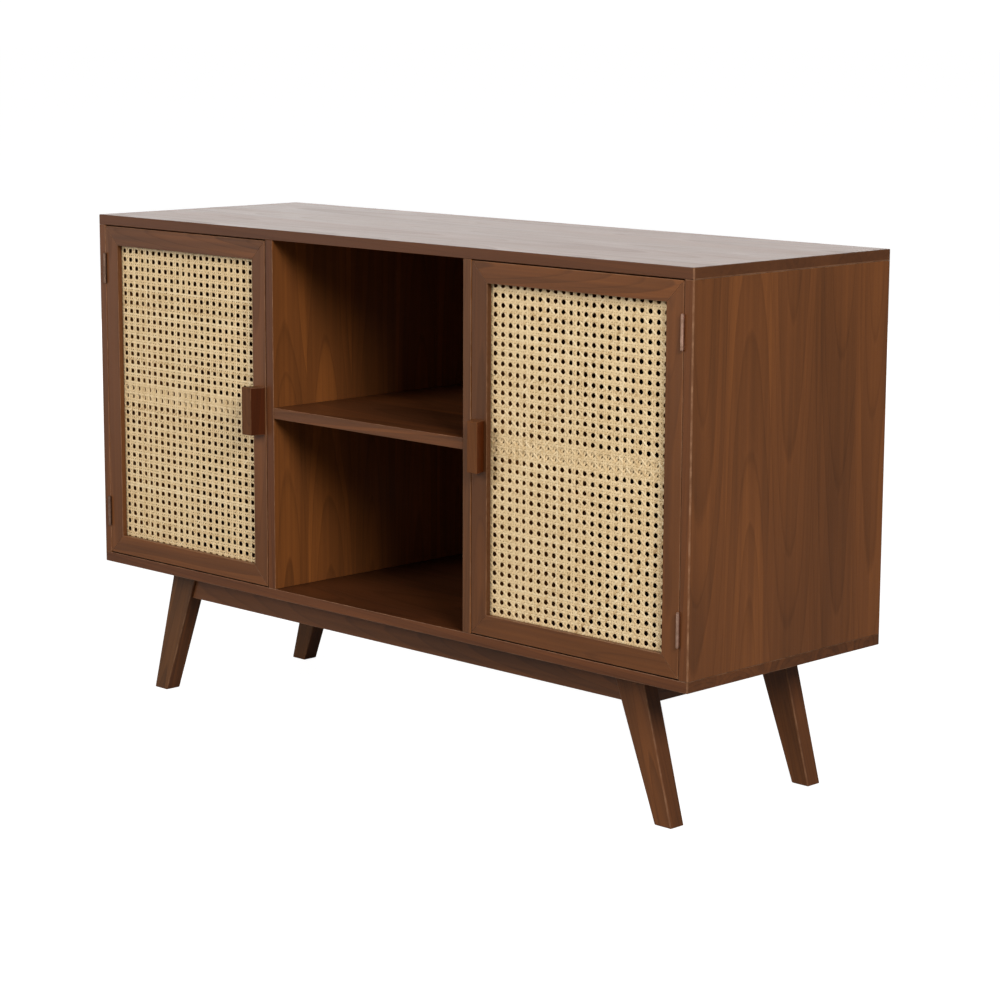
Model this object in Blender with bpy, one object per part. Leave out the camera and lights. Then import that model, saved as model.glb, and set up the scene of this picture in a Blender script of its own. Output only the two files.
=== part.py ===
"""Media cabinet: a walnut-stained carcass of three bays on a splayed-leg stand, with two cane-panelled doors.

Units are metres, +Z up. The origin is on the floor under the middle of the whole object, +X to its right,
-Y towards its front. Door pieces hang on an empty that lies on their hinge axis.
"""

import math

import bmesh
import bpy
from mathutils import Matrix, Vector

# ---------------------------------------------------------------- driving dimensions (metres)
WIDTH = 1.200            # over the side panels
DEPTH = 0.400            # front edge to back edge of the carcass
HEIGHT = 0.740           # floor to top
LEG_LENGTH = 0.200       # floor to underside of the carcass
BOARD = 0.015            # top, bottom, sides and dividers
SHELF = 0.016            # centre shelf
BAY_SIDE = 0.375         # clear width of a door bay
HANDLE_REACH = 0.020     # how far a pull stands out from its door
GAP = 0.0003             # glue-line gap between neighbouring pieces

DOOR_GAP = 0.0018        # running gap round an inset door
HINGE_GAP = 0.0010       # the same, along its hinge edge
DOOR_THICK = 0.018
FRAME_WIDE = 0.0285      # door frame member, seen from the front
LIP = 0.008              # front lip of the member, in front of the cane
REBATE = 0.008           # how far the rebate runs under the lip
CANE_THICK = 0.002

BACK_THICK = 0.005
BACK_RABBET = 0.008      # how far the back panel sits into the surrounding boards
CABLE_HOLE_R = 0.030
CABLE_HOLE_Z = (0.285, 0.553)

SHELF_Z = 0.475          # middle of the centre shelf

LEG_SETBACK = 0.044      # carcass front edge to leg face
LEG_THICK = 0.026        # leg, front to back
LEG_FOOT_WIDE = 0.029
LEG_FOOT_INSET = 0.0616  # carcass end to the outer edge of the foot
LEG_OUTER_SPLAY = 0.272  # sideways run per unit of height
LEG_INNER_SPLAY = 0.391
APRON_THICK = 0.015
APRON_DROP = 0.044
APRON_SETBACK = 0.005    # behind the leg face
BRACE_SIDE = 0.070
BRACE_THICK = 0.018

HINGE_Z = (0.281, 0.659)
HINGE_HALF = 0.022
KNUCKLE_R = 0.0023
PIN_R = 0.0011
PIN_HOLE_R = 0.00125
HINGE_PROUD = 0.0025     # pin axis in front of the door face
LEAF_THICK = 0.0012
LEAF_DEEP = 0.0182       # pin axis to the leaf's rear edge
ROUND = 16               # sides on small round work

HANDLE_Z = 0.476
HANDLE_TALL = 0.070
HANDLE_BASE = (0.0025, 0.0235)   # from the door's closing edge, at the door face
HANDLE_FACE = (0.0110, 0.0310)   # the same, at the front of the pull

PULL_SCREW_U = 0.0130    # from the door's closing edge
PULL_SCREW_DZ = 0.020    # above and below the pull's middle
PULL_SCREW_R = 0.0016
PULL_SCREW_HEAD_R = 0.0032
PULL_SCREW_BITE = 0.011  # how far it goes into the pull

CATCH_Z = 0.612

# ---------------------------------------------------------------- derived
X_END = WIDTH / 2
Y_FRONT = -(DEPTH - HANDLE_REACH) / 2
Y_BACK = Y_FRONT + DEPTH
Y_MID = (Y_FRONT + Y_BACK) / 2
Z_LOW = LEG_LENGTH
Z_TOP = HEIGHT
X_SIDE = X_END - BOARD                 # inner face of a side panel
X_DIV_OUT = X_SIDE - BAY_SIDE          # divider face towards its door bay
X_DIV_IN = X_DIV_OUT - BOARD           # divider face towards the centre bay
Z_FLOOR = Z_LOW + BOARD                # top of the bottom panel
Z_CEIL = Z_TOP - BOARD                 # underside of the top panel
Y_BACKPANEL = Y_BACK - 0.006           # front of the rabbet
DOOR_X0 = X_DIV_OUT + DOOR_GAP         # closing edge
DOOR_X1 = X_SIDE - HINGE_GAP           # hinge edge
DOOR_Z0 = Z_FLOOR + DOOR_GAP
DOOR_Z1 = Z_CEIL - DOOR_GAP
DOOR_BACK = Y_FRONT + DOOR_THICK
PIN_X = (X_SIDE + DOOR_X1) / 2
PIN_Y = Y_FRONT - HINGE_PROUD
LEAF_RECESS = 0.0002 + LEAF_THICK + GAP - HINGE_GAP / 2   # how deep a leaf is let into the wood
LEG_Y0 = Y_FRONT + LEG_SETBACK
LEG_Y1 = LEG_Y0 + LEG_THICK


# ---------------------------------------------------------------- scene and materials
def clear_scene():
    for obj in list(bpy.data.objects):
        bpy.data.objects.remove(obj, do_unlink=True)


def material(name, colour, roughness, metallic=0.0):
    mat = bpy.data.materials.new(name)
    mat.use_nodes = True
    shader = mat.node_tree.nodes["Principled BSDF"]
    shader.inputs["Base Color"].default_value = (*colour, 1.0)
    shader.inputs["Roughness"].default_value = roughness
    shader.inputs["Metallic"].default_value = metallic
    return mat


# ---------------------------------------------------------------- modelling helpers
def link(name, bm, mat, parent=None):
    """Makes the object. With a parent empty, the mesh is stored relative to it, so the origin is the pivot."""
    bmesh.ops.recalc_face_normals(bm, faces=bm.faces[:])
    if parent is not None:
        bmesh.ops.translate(bm, vec=-parent.location, verts=bm.verts[:])
    mesh = bpy.data.meshes.new(name)
    bm.to_mesh(mesh)
    bm.free()
    obj = bpy.data.objects.new(name, mesh)
    bpy.context.scene.collection.objects.link(obj)
    if mat is not None:
        mesh.materials.append(mat)
    if parent is not None:
        obj.parent = parent
    return obj


def extrude_outline(points, axis, low, high):
    """A prism: the outline (pairs, in the plane across the axis) extruded from low to high."""
    bm = bmesh.new()
    place = {
        "x": lambda a, b, h: (h, a, b),
        "y": lambda a, b, h: (a, h, b),
        "z": lambda a, b, h: (a, b, h),
    }[axis]
    face = bm.faces.new([bm.verts.new(place(a, b, low)) for a, b in points])
    grown = bmesh.ops.extrude_face_region(bm, geom=[face])
    top = [v for v in grown["geom"] if isinstance(v, bmesh.types.BMVert)]
    bmesh.ops.translate(bm, vec=Vector(place(0, 0, high)) - Vector(place(0, 0, low)), verts=top)
    return bm


def block(x0, x1, y0, y1, z0, z1):
    x0, x1 = sorted((x0, x1))
    return extrude_outline([(x0, y0), (x1, y0), (x1, y1), (x0, y1)], "z", z0, z1)


def loft(lower, upper):
    """Closes two outlines with the same number of points into one solid."""
    bm = bmesh.new()
    a = [bm.verts.new(p) for p in lower]
    b = [bm.verts.new(p) for p in upper]
    bm.faces.new(a)
    bm.faces.new(b)
    n = len(a)
    for i in range(n):
        bm.faces.new([a[i], a[(i + 1) % n], b[(i + 1) % n], b[i]])
    return bm


def weigh_edges(bm, rule):
    """Sets each sharp edge's bevel weight from rule(middle, direction)."""
    layer = bm.edges.layers.float.new("bevel_weight_edge")
    bm.normal_update()
    for edge in bm.edges:
        if len(edge.link_faces) == 2 and edge.calc_face_angle(0.0) > math.radians(20):
            a, b = edge.verts[0].co, edge.verts[1].co
            edge[layer] = rule((a + b) / 2, (b - a).normalized())
    return bm


def bevel(obj, width=0.002, segments=2):
    mod = obj.modifiers.new("softened_edges", "BEVEL")
    mod.limit_method = "WEIGHT"
    mod.width = width
    mod.segments = segments
    mod.use_clamp_overlap = True
    return obj


def chamfer(obj, width):
    mod = obj.modifiers.new("eased_edges", "BEVEL")
    mod.limit_method = "ANGLE"
    mod.angle_limit = math.radians(30)
    mod.width = width
    mod.segments = 1
    return obj


def helper(name, bm):
    obj = link(name, bm, None)
    obj.hide_render = True
    obj.display_type = "WIRE"
    return obj


def boolean(obj, other, operation):
    mod = obj.modifiers.new(operation.lower() + "_" + other.name, "BOOLEAN")
    mod.operation = operation
    mod.solver = "EXACT"
    mod.object = other
    return obj


def smooth(obj, degrees=35):
    obj.data.shade_smooth()
    obj.data.set_sharp_from_angle(angle=math.radians(degrees))
    return obj


def circle(cx, cy, radius, start=0.0, end=2 * math.pi, steps=ROUND, closed=True):
    count = steps if closed else steps + 1
    return [
        (cx + radius * math.cos(start + (end - start) * i / steps), cy + radius * math.sin(start + (end - start) * i / steps))
        for i in range(count)
    ]


def turned(profile, x, y):
    """Spins a profile of (radius, z) pairs round a vertical axis through x, y."""
    bm = bmesh.new()
    verts = [bm.verts.new((x + r, y, z)) for r, z in profile]
    edges = [bm.edges.new((verts[i], verts[i + 1])) for i in range(len(verts) - 1)]
    bmesh.ops.spin(
        bm, geom=verts + edges, cent=(x, y, 0), axis=(0, 0, 1), angle=2 * math.pi, steps=ROUND, use_merge=True
    )
    bmesh.ops.remove_doubles(bm, verts=bm.verts[:], dist=1e-6)
    return bm


def near(value, target, tol=0.0006):
    return abs(value - target) < tol


# ---------------------------------------------------------------- start
clear_scene()
WALNUT = material("walnut", (0.165, 0.075, 0.042), 0.45)
WALNUT_DARK = material("walnut_inside", (0.140, 0.062, 0.036), 0.55)
CANE = material("cane", (0.60, 0.44, 0.24), 0.60)
BRASS = material("aged_brass", (0.50, 0.30, 0.20), 0.35, 1.0)
STEEL = material("bright_steel", (0.55, 0.55, 0.55), 0.35, 1.0)
PLASTIC = material("dark_plastic", (0.035, 0.030, 0.028), 0.50)


# ---------------------------------------------------------------- carcass
def outer_edge_weight(mid, direction):
    """Full rounding on the cabinet's outside corners, hardly any where boards meet."""
    upright = abs(direction.z) > 0.9
    if upright and near(abs(mid.x), X_END) and (near(mid.y, Y_FRONT) or near(mid.y, Y_BACK)):
        return 0.9
    if near(mid.z, Z_TOP) or near(mid.z, Z_LOW):
        return 0.6
    if near(mid.y, Y_FRONT) and not near(abs(mid.x), X_END):
        return 0.35
    return 0.2


def full_panel(name, z0, z1, rabbet_z0, rabbet_z1):
    bm = weigh_edges(block(-X_END, X_END, Y_FRONT, Y_BACK, z0, z1), outer_edge_weight)
    panel = bevel(link(name, bm, WALNUT))
    cut = helper(
        name + "_rabbet_cutter",
        block(-X_SIDE - BACK_RABBET, X_SIDE + BACK_RABBET, Y_BACKPANEL, Y_BACK + 0.01, rabbet_z0, rabbet_z1),
    )
    return boolean(panel, cut, "DIFFERENCE")


full_panel("top_panel", Z_CEIL, Z_TOP, Z_CEIL - 0.01, Z_CEIL + BACK_RABBET)
full_panel("bottom_panel", Z_LOW, Z_FLOOR, Z_FLOOR - BACK_RABBET, Z_FLOOR + 0.01)

for side, tag in ((-1, "left"), (1, "right")):
    outline = [
        (side * X_SIDE, Y_FRONT),
        (side * X_END, Y_FRONT),
        (side * X_END, Y_BACK),
        (side * (X_SIDE + BACK_RABBET), Y_BACK),
        (side * (X_SIDE + BACK_RABBET), Y_BACKPANEL),
        (side * X_SIDE, Y_BACKPANEL),
    ]
    bm = weigh_edges(extrude_outline(outline, "z", Z_FLOOR + GAP, Z_CEIL - GAP), outer_edge_weight)
    panel = bevel(link("side_panel_" + tag, bm, WALNUT))
    for number, z in enumerate(HINGE_Z):
        pocket = helper(
            f"side_pocket_{tag}_{number}",
            block(side * (X_SIDE - 0.002), side * (X_SIDE + LEAF_RECESS), Y_FRONT - 0.002, PIN_Y + LEAF_DEEP + GAP, z - HINGE_HALF - GAP, z + HINGE_HALF + GAP),
        )
        boolean(panel, pocket, "DIFFERENCE")

    bm = weigh_edges(
        block(side * X_DIV_IN, side * X_DIV_OUT, Y_FRONT, Y_BACKPANEL - GAP, Z_FLOOR + GAP, Z_CEIL - GAP),
        lambda mid, d: 0.35 if near(mid.y, Y_FRONT) and abs(d.z) > 0.9 else 0.1,
    )
    bevel(link("divider_" + tag, bm, WALNUT))

bm = weigh_edges(
    block(-X_DIV_IN + GAP, X_DIV_IN - GAP, Y_FRONT, Y_BACKPANEL - GAP, SHELF_Z - SHELF / 2, SHELF_Z + SHELF / 2),
    lambda mid, d: 0.35 if near(mid.y, Y_FRONT) and abs(d.x) > 0.9 else 0.1,
)
bevel(link("centre_shelf", bm, WALNUT))

back = link(
    "back_panel",
    block(
        -X_SIDE - BACK_RABBET + GAP,
        X_SIDE + BACK_RABBET - GAP,
        Y_BACKPANEL + GAP,
        Y_BACKPANEL + GAP + BACK_THICK,
        Z_FLOOR - BACK_RABBET + GAP,
        Z_CEIL + BACK_RABBET - GAP,
    ),
    WALNUT_DARK,
)
for number, z in enumerate(CABLE_HOLE_Z):
    drill = helper(
        f"cable_hole_cutter_{number}",
        extrude_outline(circle(0, z, CABLE_HOLE_R, steps=24), "y", Y_BACKPANEL - 0.01, Y_BACK + 0.01),
    )
    boolean(back, drill, "DIFFERENCE")


# ---------------------------------------------------------------- stand
def leg_x(height, side, inner):
    """Where a leg's outer or inner edge is, at a height above the floor."""
    outer = X_END - LEG_FOOT_INSET - LEG_OUTER_SPLAY * height
    return side * ((X_END - LEG_FOOT_INSET - LEG_FOOT_WIDE - LEG_INNER_SPLAY * height) if inner else outer)


def leg(name, side, y0, y1):
    top = Z_LOW - GAP
    ring = lambda z: [
        (leg_x(z, side, True), y0, z),
        (leg_x(z, side, False), y0, z),
        (leg_x(z, side, False), y1, z),
        (leg_x(z, side, True), y1, z),
    ]
    bm = weigh_edges(
        loft(ring(0.0), ring(top)),
        lambda mid, d: 0.1 if mid.z > top - 0.001 else 0.8,
    )
    return bevel(link(name, bm, WALNUT))


REAR_Y0 = 2 * Y_MID - LEG_Y1
REAR_Y1 = 2 * Y_MID - LEG_Y0
for side, tag in ((-1, "left"), (1, "right")):
    leg("front_leg_" + tag, side, LEG_Y0, LEG_Y1)
    leg("rear_leg_" + tag, side, REAR_Y0, REAR_Y1)

APRON_Z0 = Z_LOW - APRON_DROP
APRON_Z1 = Z_LOW - GAP


def soft_low(mid, direction):
    return 0.35 if near(mid.z, APRON_Z0) else 0.1


for name, y0 in (("front_apron", LEG_Y0 + APRON_SETBACK), ("rear_apron", REAR_Y1 - APRON_SETBACK - APRON_THICK)):
    outline = [
        (leg_x(APRON_Z0, -1, True) + GAP, APRON_Z0),
        (leg_x(APRON_Z0, 1, True) - GAP, APRON_Z0),
        (leg_x(APRON_Z1, 1, True) - GAP, APRON_Z1),
        (leg_x(APRON_Z1, -1, True) + GAP, APRON_Z1),
    ]
    bm = weigh_edges(extrude_outline(outline, "y", y0, y0 + APRON_THICK), soft_low)
    bevel(link(name, bm, WALNUT))

RAIL_X1 = leg_x(Z_LOW, 1, False)
RAIL_X0 = RAIL_X1 - APRON_THICK
for side, tag in ((-1, "left"), (1, "right")):
    bm = weigh_edges(block(side * RAIL_X0, side * RAIL_X1, LEG_Y1 + GAP, REAR_Y0 - GAP, APRON_Z0, APRON_Z1), soft_low)
    bevel(link("side_rail_" + tag, bm, WALNUT))
    for where, y, turn in (("front", LEG_Y1 + 2 * GAP, 1), ("rear", REAR_Y0 - 2 * GAP, -1)):
        corner = side * (RAIL_X0 - GAP)
        outline = [(corner, y), (corner - side * BRACE_SIDE, y), (corner, y + turn * BRACE_SIDE)]
        brace = link(f"corner_brace_{where}_{tag}", extrude_outline(outline, "z", APRON_Z1 - BRACE_THICK, APRON_Z1), WALNUT_DARK)
        chamfer(brace, 0.0008)


# ---------------------------------------------------------------- doors
def member(name, side, place, parent):
    """A mitred door frame member of L section. place is closing, hinge, top or bottom."""
    half = GAP * 0.75
    section = [
        (0.0, Y_FRONT),
        (FRAME_WIDE, Y_FRONT),
        (FRAME_WIDE, Y_FRONT + LIP),
        (FRAME_WIDE - REBATE, Y_FRONT + LIP),
        (FRAME_WIDE - REBATE, DOOR_BACK),
        (0.0, DOOR_BACK),
    ]
    low, high = [], []
    for inward, y in section:
        if place in ("closing", "hinge"):
            x = DOOR_X0 + inward if place == "closing" else DOOR_X1 - inward
            low.append((side * x, y, DOOR_Z0 + inward + half))
            high.append((side * x, y, DOOR_Z1 - inward - half))
        else:
            z = DOOR_Z1 - inward if place == "top" else DOOR_Z0 + inward
            low.append((side * (DOOR_X0 + inward + half), y, z))
            high.append((side * (DOOR_X1 - inward - half), y, z))
    bm = weigh_edges(
        loft(low, high),
        lambda mid, d: 0.3 if near(mid.y, Y_FRONT) and max(abs(d.x), abs(d.z)) > 0.9 else 0.08,
    )
    return bevel(link(name, bm, WALNUT, parent))


CANE_Y0 = Y_FRONT + LIP + GAP
CANE_Y1 = CANE_Y0 + CANE_THICK
HOLE_X0 = DOOR_X0 + FRAME_WIDE         # frame opening, closing side
HOLE_X1 = DOOR_X1 - FRAME_WIDE
HOLE_Z0 = DOOR_Z0 + FRAME_WIDE
HOLE_Z1 = DOOR_Z1 - FRAME_WIDE
UNDER = REBATE - GAP                   # how far cane and beads reach into the rebate

for side, tag in ((-1, "left"), (1, "right")):
    pivot = bpy.data.objects.new("door_pivot_" + tag, None)
    pivot.location = (side * PIN_X, PIN_Y, 0.0)
    bpy.context.scene.collection.objects.link(pivot)

    closing = member("door_stile_closing_" + tag, side, "closing", pivot)
    member("door_rail_top_" + tag, side, "top", pivot)
    member("door_rail_bottom_" + tag, side, "bottom", pivot)
    stile = member("door_stile_hinge_" + tag, side, "hinge", pivot)
    for number, z in enumerate(HINGE_Z):
        pocket = helper(
            f"stile_pocket_{tag}_{number}",
            block(side * (DOOR_X1 - LEAF_RECESS), side * (DOOR_X1 + 0.002), Y_FRONT - 0.002, PIN_Y + LEAF_DEEP + GAP, z - HINGE_HALF - GAP, z + HINGE_HALF + GAP),
        )
        boolean(stile, pocket, "DIFFERENCE")

    link(
        "cane_panel_" + tag,
        block(side * (HOLE_X0 - UNDER), side * (HOLE_X1 + UNDER), CANE_Y0, CANE_Y1, HOLE_Z0 - UNDER, HOLE_Z1 + UNDER),
        CANE,
        pivot,
    )

    bead_y0, bead_y1 = CANE_Y1 + GAP, DOOR_BACK
    for place, x0, x1, z0, z1 in (
        ("closing", HOLE_X0 - UNDER, HOLE_X0, HOLE_Z0 - UNDER, HOLE_Z1 + UNDER),
        ("hinge", HOLE_X1, HOLE_X1 + UNDER, HOLE_Z0 - UNDER, HOLE_Z1 + UNDER),
        ("top", HOLE_X0 + GAP, HOLE_X1 - GAP, HOLE_Z1, HOLE_Z1 + UNDER),
        ("bottom", HOLE_X0 + GAP, HOLE_X1 - GAP, HOLE_Z0 - UNDER, HOLE_Z0),
    ):
        bead = link(f"cane_bead_{place}_{tag}", block(side * x0, side * x1, bead_y0, bead_y1, z0, z1), WALNUT_DARK, pivot)
        chamfer(bead, 0.0006)

    # pull: a leaning block whose outer flank is undercut for the fingers
    outline = [
        (side * (DOOR_X0 + HANDLE_BASE[0]), Y_FRONT - GAP),
        (side * (DOOR_X0 + HANDLE_BASE[1]), Y_FRONT - GAP),
        (side * (DOOR_X0 + HANDLE_FACE[1]), Y_FRONT - HANDLE_REACH),
        (side * (DOOR_X0 + HANDLE_FACE[0]), Y_FRONT - HANDLE_REACH),
    ]
    bm = weigh_edges(
        extrude_outline(outline, "z", HANDLE_Z - HANDLE_TALL / 2, HANDLE_Z + HANDLE_TALL / 2),
        lambda mid, d: 0.5 if mid.y < Y_FRONT - 0.004 else 0.1,
    )
    pull = bevel(link("door_pull_" + tag, bm, WALNUT, pivot))

    # two screws hold it, put in from the back of the closing stile
    screw_x = side * (DOOR_X0 + PULL_SCREW_U)
    for where, z in (("lower", HANDLE_Z - PULL_SCREW_DZ), ("upper", HANDLE_Z + PULL_SCREW_DZ)):
        drill = helper(
            f"screw_hole_cutter_{where}_{tag}",
            extrude_outline(
                circle(screw_x, z, PULL_SCREW_R + GAP, steps=12), "y", Y_FRONT - PULL_SCREW_BITE - 0.001, DOOR_BACK + 0.004
            ),
        )
        boolean(pull, drill, "DIFFERENCE")
        boolean(closing, drill, "DIFFERENCE")
        seat = DOOR_BACK + GAP
        screw = turned(
            [
                (0.0, -Y_FRONT + PULL_SCREW_BITE),
                (PULL_SCREW_R * 0.45, -Y_FRONT + PULL_SCREW_BITE),
                (PULL_SCREW_R, -Y_FRONT + PULL_SCREW_BITE - 0.0022),
                (PULL_SCREW_R, -seat),
                (PULL_SCREW_HEAD_R, -seat),
                (PULL_SCREW_HEAD_R, -seat - 0.0009),
                (PULL_SCREW_HEAD_R * 0.72, -seat - 0.0019),
                (0.0, -seat - 0.0022),
            ],
            0.0,
            0.0,
        )
        bmesh.ops.rotate(screw, cent=(0, 0, 0), matrix=Matrix.Rotation(math.pi / 2, 3, "X"), verts=screw.verts[:])
        bmesh.ops.translate(screw, vec=(screw_x, 0, z), verts=screw.verts[:])
        screw_obj = smooth(link(f"pull_screw_{where}_{tag}", screw, STEEL, pivot))
        slot = helper(
            f"screw_slot_cutter_{where}_{tag}",
            block(screw_x - 0.0004, screw_x + 0.0004, seat + 0.0013, seat + 0.004, z - 0.004, z + 0.004),
        )
        boolean(screw_obj, slot, "DIFFERENCE")

    # steel keeper on the back of the closing stile, and its magnetic catch on the divider
    keeper_x0, keeper_x1 = DOOR_X0 + 0.004, DOOR_X0 + 0.017
    keeper = link(
        "catch_plate_" + tag,
        block(side * keeper_x0, side * keeper_x1, DOOR_BACK + GAP, DOOR_BACK + GAP + 0.0010, CATCH_Z - 0.021, CATCH_Z + 0.021),
        STEEL,
        pivot,
    )
    chamfer(keeper, 0.0003)
    catch = link(
        "magnetic_catch_" + tag,
        block(side * (X_DIV_OUT + GAP), side * (X_DIV_OUT + 0.019), DOOR_BACK + 0.0017, DOOR_BACK + 0.0157, CATCH_Z - 0.024, CATCH_Z + 0.024),
        PLASTIC,
    )
    chamfer(catch, 0.0010)

    # butt hinges: three knuckles each, two on the case leaf and one on the door leaf
    for z, where in zip(HINGE_Z, ("lower", "upper")):
        third = 2 * HINGE_HALF / 3
        knuckles = {
            "case": ((z - HINGE_HALF, z - HINGE_HALF + third - GAP / 2), (z + HINGE_HALF - third + GAP / 2, z + HINGE_HALF)),
            "door": ((z - HINGE_HALF + third + GAP / 2, z + HINGE_HALF - third - GAP / 2),),
        }
        drill = helper(
            f"pin_hole_cutter_{where}_{tag}",
            extrude_outline(circle(side * PIN_X, PIN_Y, PIN_HOLE_R), "z", z - HINGE_HALF - 0.005, z + HINGE_HALF + 0.005),
        )
        for kind, outward in (("case", 1), ("door", -1)):
            near_x, far_x = 0.0002, 0.0002 + LEAF_THICK
            bm = block(
                side * (PIN_X + outward * near_x),
                side * (PIN_X + outward * far_x),
                PIN_Y + KNUCKLE_R + 0.0003,
                PIN_Y + LEAF_DEEP,
                z - HINGE_HALF + 0.0001,
                z + HINGE_HALF - 0.0001,
            )
            leaf = link(
                f"hinge_leaf_{kind}_{where}_{tag}", bm, BRASS, pivot if kind == "door" else None
            )
            tab_near, tab_far = near_x + 0.00005, far_x - 0.00005
            a_near = math.acos(outward * tab_near / KNUCKLE_R)
            a_far = math.acos(outward * tab_far / KNUCKLE_R)
            first, last = max(a_near, a_far), min(a_near, a_far) + 2 * math.pi
            arc = circle(0, 0, KNUCKLE_R, start=first, end=last, steps=ROUND, closed=False)
            low_x, high_x = sorted((outward * tab_near, outward * tab_far))
            keyhole = arc + [(high_x, KNUCKLE_R + 0.0020), (low_x, KNUCKLE_R + 0.0020)]
            for number, (k0, k1) in enumerate(knuckles[kind]):
                barrel = helper(
                    f"knuckle_{kind}_{where}_{tag}_{number}",
                    extrude_outline([(side * (PIN_X + px), PIN_Y + py) for px, py in keyhole], "z", k0, k1),
                )
                boolean(leaf, barrel, "UNION")
            boolean(leaf, drill, "DIFFERENCE")
            smooth(leaf)
        half = HINGE_HALF
        pin = turned(
            [
                (0.0, z - half - 0.0014),
                (0.0013, z - half - 0.0014),
                (0.0019, z - half - 0.0009),
                (0.0019, z - half - 0.0003),
                (PIN_R, z - half - 0.0003),
                (PIN_R, z + half + 0.0003),
                (0.0019, z + half + 0.0003),
                (0.0019, z + half + 0.0009),
                (0.0013, z + half + 0.0014),
                (0.0, z + half + 0.0014),
            ],
            side * PIN_X,
            PIN_Y,
        )
        smooth(link(f"hinge_pin_{where}_{tag}", pin, BRASS))
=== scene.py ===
"""Looks of the media cabinet: walnut-stained boards, woven cane door panels, small brass hinges."""

import math

import bpy
import numpy as np
from mathutils import Matrix, Vector


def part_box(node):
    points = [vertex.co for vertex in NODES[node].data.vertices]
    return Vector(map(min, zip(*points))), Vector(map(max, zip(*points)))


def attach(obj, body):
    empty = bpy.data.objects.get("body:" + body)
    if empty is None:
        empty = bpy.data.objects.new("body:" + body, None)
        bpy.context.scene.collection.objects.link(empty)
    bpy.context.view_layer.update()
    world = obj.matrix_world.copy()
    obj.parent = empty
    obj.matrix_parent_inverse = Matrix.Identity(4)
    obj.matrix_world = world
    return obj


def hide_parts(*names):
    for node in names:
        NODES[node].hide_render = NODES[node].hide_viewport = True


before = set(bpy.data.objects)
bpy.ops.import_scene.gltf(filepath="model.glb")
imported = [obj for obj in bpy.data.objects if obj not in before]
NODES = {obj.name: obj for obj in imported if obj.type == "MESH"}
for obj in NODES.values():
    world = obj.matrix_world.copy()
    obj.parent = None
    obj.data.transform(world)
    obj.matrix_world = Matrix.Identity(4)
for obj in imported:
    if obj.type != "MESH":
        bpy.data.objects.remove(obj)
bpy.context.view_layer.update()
SIDES = ((-1, "left"), (1, "right"))


# ------------------------------------------------------------------ node building
class Graph:
    """A few short calls for wiring shader nodes."""

    def __init__(self, tree):
        self.tree = tree

    def put(self, socket, value):
        if isinstance(value, bpy.types.NodeSocket):
            self.tree.links.new(value, socket)
        elif value is not None:
            if isinstance(value, (tuple, list)) and len(value) == 3 and len(getattr(socket, "default_value", (0,) * 3)) == 4:
                value = (*value, 1.0)
            socket.default_value = value

    def node(self, kind, inputs=None, **props):
        n = self.tree.nodes.new(kind)
        for key, value in props.items():
            setattr(n, key, value)
        for key, value in (inputs or {}).items():
            self.put(n.inputs[key], value)
        return n

    def math(self, operation, a, b=None, c=None, clamp=False):
        n = self.node("ShaderNodeMath", {0: a}, operation=operation, use_clamp=clamp)
        if b is not None:
            self.put(n.inputs[1], b)
        if c is not None:
            self.put(n.inputs[2], c)
        return n.outputs[0]

    def add(self, *values):
        total = values[0]
        for v in values[1:]:
            total = self.math("ADD", total, v)
        return total

    def mul(self, a, b):
        return self.math("MULTIPLY", a, b)

    def centred(self, value, size):
        """(value - 0.5) * size"""
        return self.math("MULTIPLY_ADD", value, size, -0.5 * size if isinstance(size, (int, float)) else None)

    def vector(self, x, y, z):
        return self.node("ShaderNodeCombineXYZ", {0: x, 1: y, 2: z}).outputs[0]

    def split(self, v):
        n = self.node("ShaderNodeSeparateXYZ", {0: v})
        return n.outputs[0], n.outputs[1], n.outputs[2]

    def scaled(self, v, x, y, z):
        n = self.node("ShaderNodeVectorMath", {0: v, 1: (x, y, z)}, operation="MULTIPLY")
        return n.outputs[0]

    def noise(self, v, detail=2.0, roughness=0.5, scale=1.0, distortion=0.0, dims="3D", w=None):
        n = self.node(
            "ShaderNodeTexNoise",
            {"Scale": scale, "Detail": detail, "Roughness": roughness, "Distortion": distortion},
            noise_dimensions=dims,
        )
        if dims != "1D":
            self.put(n.inputs["Vector"], v)
        if w is not None:
            self.put(n.inputs["W"], w)
        return n.outputs[0]

    def white(self, w):
        return self.node("ShaderNodeTexWhiteNoise", {"W": w}, noise_dimensions="1D")

    def remap(self, value, a, b, c=0.0, d=1.0, smooth=False):
        n = self.node(
            "ShaderNodeMapRange",
            {"Value": value, "From Min": a, "From Max": b, "To Min": c, "To Max": d},
            interpolation_type="SMOOTHSTEP" if smooth else "LINEAR",
            clamp=True,
        )
        return n.outputs[0]

    def ramp(self, value, stops, interpolation="LINEAR"):
        n = self.node("ShaderNodeValToRGB", {0: value})
        ramp = n.color_ramp
        ramp.interpolation = interpolation
        while len(ramp.elements) < len(stops):
            ramp.elements.new(0.5)
        for element, (place, colour) in zip(ramp.elements, stops):
            element.position = place
            if isinstance(colour, (int, float)):
                colour = (colour,) * 3
            element.color = (*colour, 1.0)
        return n.outputs[0]

    def mix(self, factor, a, b, blend="MIX"):
        n = self.node("ShaderNodeMix", data_type="RGBA", blend_type=blend, clamp_factor=True)
        self.put(n.inputs["Factor"], factor)
        self.put([s for s in n.inputs if s.name == "A" and s.type == "RGBA"][0], a)
        self.put([s for s in n.inputs if s.name == "B" and s.type == "RGBA"][0], b)
        return [s for s in n.outputs if s.type == "RGBA"][0]

    def bump(self, height, strength, distance):
        return self.node("ShaderNodeBump", {"Height": height, "Strength": strength, "Distance": distance}).outputs[0]


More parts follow.
